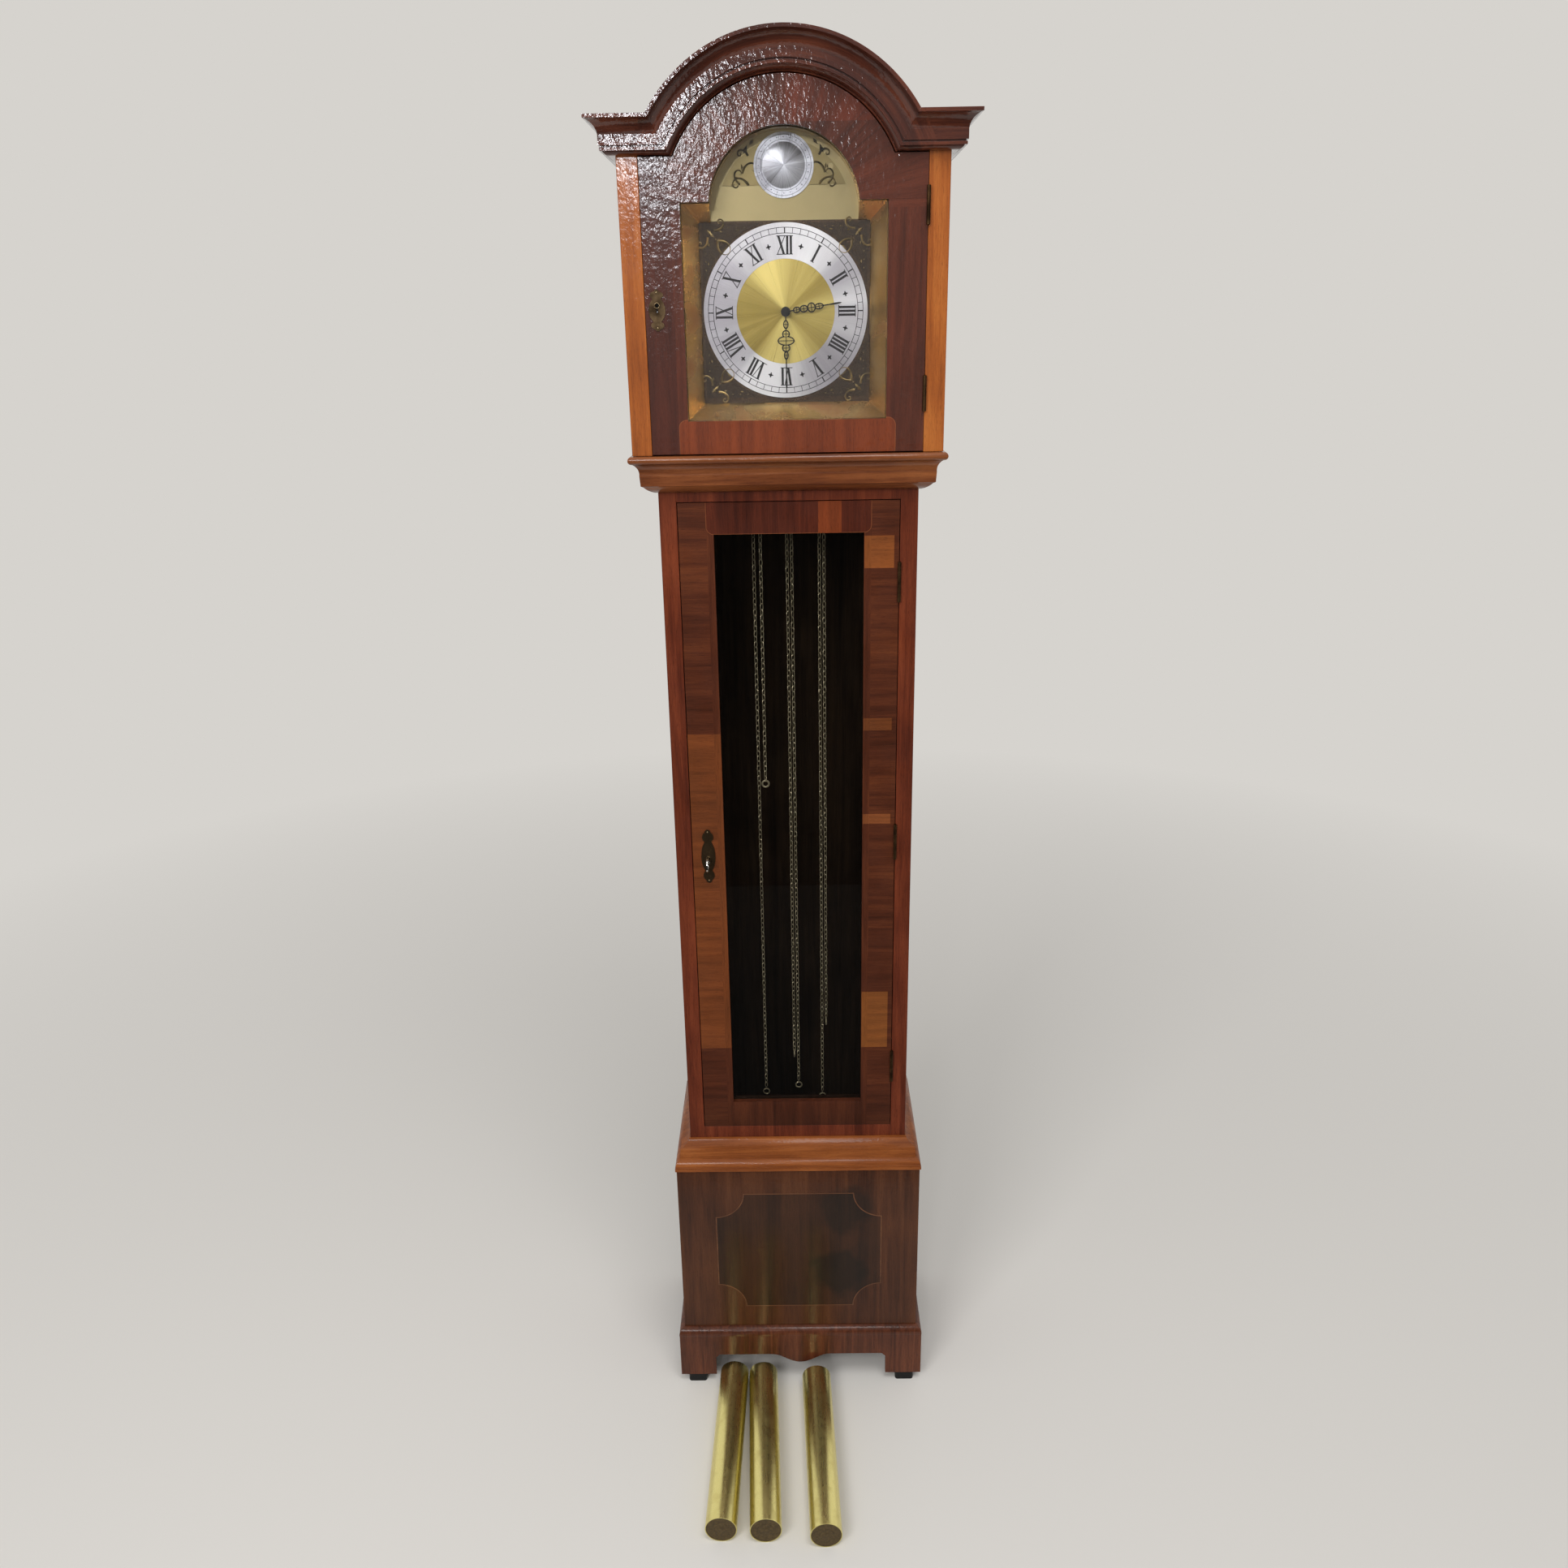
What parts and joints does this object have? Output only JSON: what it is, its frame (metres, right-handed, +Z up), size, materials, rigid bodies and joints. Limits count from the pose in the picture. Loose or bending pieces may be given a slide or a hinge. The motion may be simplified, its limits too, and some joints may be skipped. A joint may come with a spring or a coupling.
{
  "type": "longcase clock",
  "caption": "Tall wooden clock case with an arched hood, glazed hood and trunk doors, chapter-ring dial, chain-driven movement and brass weights laid before its plinth.",
  "frame": {"origin": "on the floor, on the clock's middle plane, midway between the wall plane behind the case and the front ends of the weights", "axes": "+X to the viewer's right, +Y towards the wall, +Z up; the dial faces -Y"},
  "size_m": [0.4296, 0.5226, 1.863],
  "materials": {
    "dark_veneer": "dark figured veneer under gloss lacquer",
    "door_veneer": "red-brown cross-banded veneer under gloss lacquer",
    "moulding_wood": "stained hardwood mouldings under gloss lacquer",
    "post_wood": "light orange-brown hardwood under gloss lacquer",
    "carcase_wood": "red-brown hardwood and veneer under gloss lacquer",
    "plain_wood": "unpolished board, stained dark inside",
    "stringing_wood": "light inlaid line",
    "black_plastic": "black moulded glide",
    "clear_glass": "clear float glass",
    "polished_brass": "polished and lacquered brass",
    "dial_brass": "dark textured brass with cast ornament",
    "silvered": "silvered satin metal",
    "movement_brass": "satin brass",
    "black_steel": "black lacquered steel",
    "bright_steel": "plain steel",
    "aged_brass": "tarnished brass",
    "nickel": "bright plated steel",
    "dark_iron": "dark painted iron filling"
  },
  "bodies": {
    "case": {"foot_glides": "black_plastic", "plinth": "moulding_wood", "base_floor": "plain_wood", "base_front": "dark_veneer", "base_stringing": "stringing_wood", "base_sides": "carcase_wood", "base_moulding": "moulding_wood", "trunk_sides": "carcase_wood", "trunk_front_frame": "carcase_wood", "throat_moulding": "moulding_wood", "backboard": "plain_wood", "backboard_screws": "bright_steel", "seatboard": "plain_wood", "trunk_case_hinges": "aged_brass", "dial_plate": "dial_brass", "chapter_ring": "silvered", "dial_centre": "polished_brass", "arch_boss": "silvered", "spandrels": "dial_brass", "movement_frame": "movement_brass", "chime_rods": "bright_steel", "chain_left": "aged_brass", "chain_middle": "aged_brass", "chain_right": "aged_brass", "chain_fittings": "aged_brass"},
    "trunk_door": {"trunk_door_frame": "door_veneer", "trunk_door_glass": "clear_glass", "trunk_door_beads": "carcase_wood", "trunk_door_hinges": "aged_brass", "trunk_escutcheon": "aged_brass", "trunk_lock": "bright_steel"},
    "door_key": {"trunk_key": "nickel"},
    "door_bolt": {"trunk_lock_bolt": "bright_steel"},
    "hood": {"hood_carcase": "carcase_wood", "hood_posts": "post_wood", "hood_roof": "carcase_wood", "cornice": "moulding_wood", "dial_mask": "polished_brass", "hood_case_hinges": "aged_brass"},
    "hood_door": {"hood_door_frame": "door_veneer", "hood_door_glass": "clear_glass", "hood_escutcheon": "aged_brass", "hood_lock": "bright_steel", "hood_door_hinges": "aged_brass"},
    "minute_arbor": {"minute_hand": "black_steel"},
    "hour_pipe": {"hour_hand": "black_steel"},
    "minute_wheel": {"minute_wheel": "movement_brass"},
    "time_arbor": {"time_great_wheel": "movement_brass"},
    "strike_arbor": {"strike_great_wheel": "movement_brass"},
    "chime_arbor": {"chime_great_wheel": "movement_brass"},
    "third_arbor": {"third_wheel": "movement_brass"},
    "escape_arbor": {"escape_wheel": "movement_brass"},
    "pallet_arbor": {"anchor": "bright_steel"},
    "leader": {"pendulum_leader": "bright_steel"},
    "left_weight": {"weight_left_shell": "polished_brass", "weight_left_core": "dark_iron"},
    "middle_weight": {"weight_middle_shell": "polished_brass", "weight_middle_core": "dark_iron"},
    "right_weight": {"weight_right_shell": "polished_brass", "weight_right_core": "dark_iron"}
  },
  "joints": [
    {"name": "hood_slide", "type": "slide", "parent": "case", "child": "hood", "axis": [0, -1, 0], "range_m": [0, 0.26]},
    {"name": "hood_door_swing", "type": "hinge", "parent": "hood", "child": "hood_door", "pos_m": [0.1607, 0.02577, 1.59], "axis": [0, 0, 1], "range_deg": [0, 110]},
    {"name": "trunk_door_swing", "type": "hinge", "parent": "case", "child": "trunk_door", "pos_m": [0.1371, 0.05152, 0.912], "axis": [0, 0, 1], "range_deg": [0, 110]},
    {"name": "key_turn", "type": "hinge", "parent": "trunk_door", "child": "door_key", "pos_m": [-0.1155, 0.05412, 0.89], "axis": [0, 1, 0], "range_deg": [0, 90]},
    {"name": "bolt_throw", "type": "slide", "parent": "trunk_door", "child": "door_bolt", "axis": [-1, 0, 0], "range_m": [0, 0.007]},
    {"name": "minute_turn", "type": "hinge", "parent": "case", "child": "minute_arbor", "pos_m": [0, 0.12627, 1.582], "axis": [0, 1, 0], "continuous": true},
    {"name": "hour_turn", "type": "hinge", "parent": "case", "child": "hour_pipe", "pos_m": [0, 0.12627, 1.582], "axis": [0, 1, 0], "continuous": true},
    {"name": "minute_wheel_turn", "type": "hinge", "parent": "case", "child": "minute_wheel", "pos_m": [-0.01149, 0.12627, 1.59164], "axis": [0, 1, 0], "continuous": true},
    {"name": "time_wheel_turn", "type": "hinge", "parent": "case", "child": "time_arbor", "pos_m": [0, 0.12627, 1.543], "axis": [0, 1, 0], "continuous": true},
    {"name": "strike_wheel_turn", "type": "hinge", "parent": "case", "child": "strike_arbor", "pos_m": [-0.042, 0.12627, 1.543], "axis": [0, 1, 0], "continuous": true},
    {"name": "chime_wheel_turn", "type": "hinge", "parent": "case", "child": "chime_arbor", "pos_m": [0.042, 0.12627, 1.543], "axis": [0, 1, 0], "continuous": true},
    {"name": "third_wheel_turn", "type": "hinge", "parent": "case", "child": "third_arbor", "pos_m": [0.018, 0.12627, 1.60423], "axis": [0, 1, 0], "continuous": true},
    {"name": "escape_wheel_turn", "type": "hinge", "parent": "case", "child": "escape_arbor", "pos_m": [0, 0.12627, 1.61294], "axis": [0, 1, 0], "continuous": true},
    {"name": "pendulum_swing", "type": "hinge", "parent": "case", "child": "leader", "pos_m": [0, 0.17127, 1.63594], "axis": [0, 1, 0], "range_deg": [-3, 3]},
    {"name": "anchor_rock", "type": "hinge", "parent": "case", "child": "pallet_arbor", "pos_m": [0, 0.16527, 1.63594], "axis": [0, 1, 0], "range_deg": [-3, 3]},
    {"name": "left_weight_pull", "type": "slide", "parent": "case", "child": "left_weight", "axis": [0, -1, 0], "range_m": [0, 0.15]},
    {"name": "middle_weight_pull", "type": "slide", "parent": "case", "child": "middle_weight", "axis": [0, -1, 0], "range_m": [0, 0.15]},
    {"name": "right_weight_pull", "type": "slide", "parent": "case", "child": "right_weight", "axis": [0, -1, 0], "range_m": [0, 0.15]}
  ],
  "couplings": [
    {"joint": "key_turn", "follows": "bolt_throw", "rad_per_m": 224.39},
    {"joint": "hour_turn", "follows": "minute_turn", "ratio": 0.083333},
    {"joint": "minute_wheel_turn", "follows": "minute_turn", "ratio": -0.33333},
    {"joint": "time_wheel_turn", "follows": "minute_turn", "ratio": -0.083333},
    {"joint": "escape_wheel_turn", "follows": "third_wheel_turn", "ratio": -9},
    {"joint": "anchor_rock", "follows": "pendulum_swing", "ratio": 1}
  ]
}
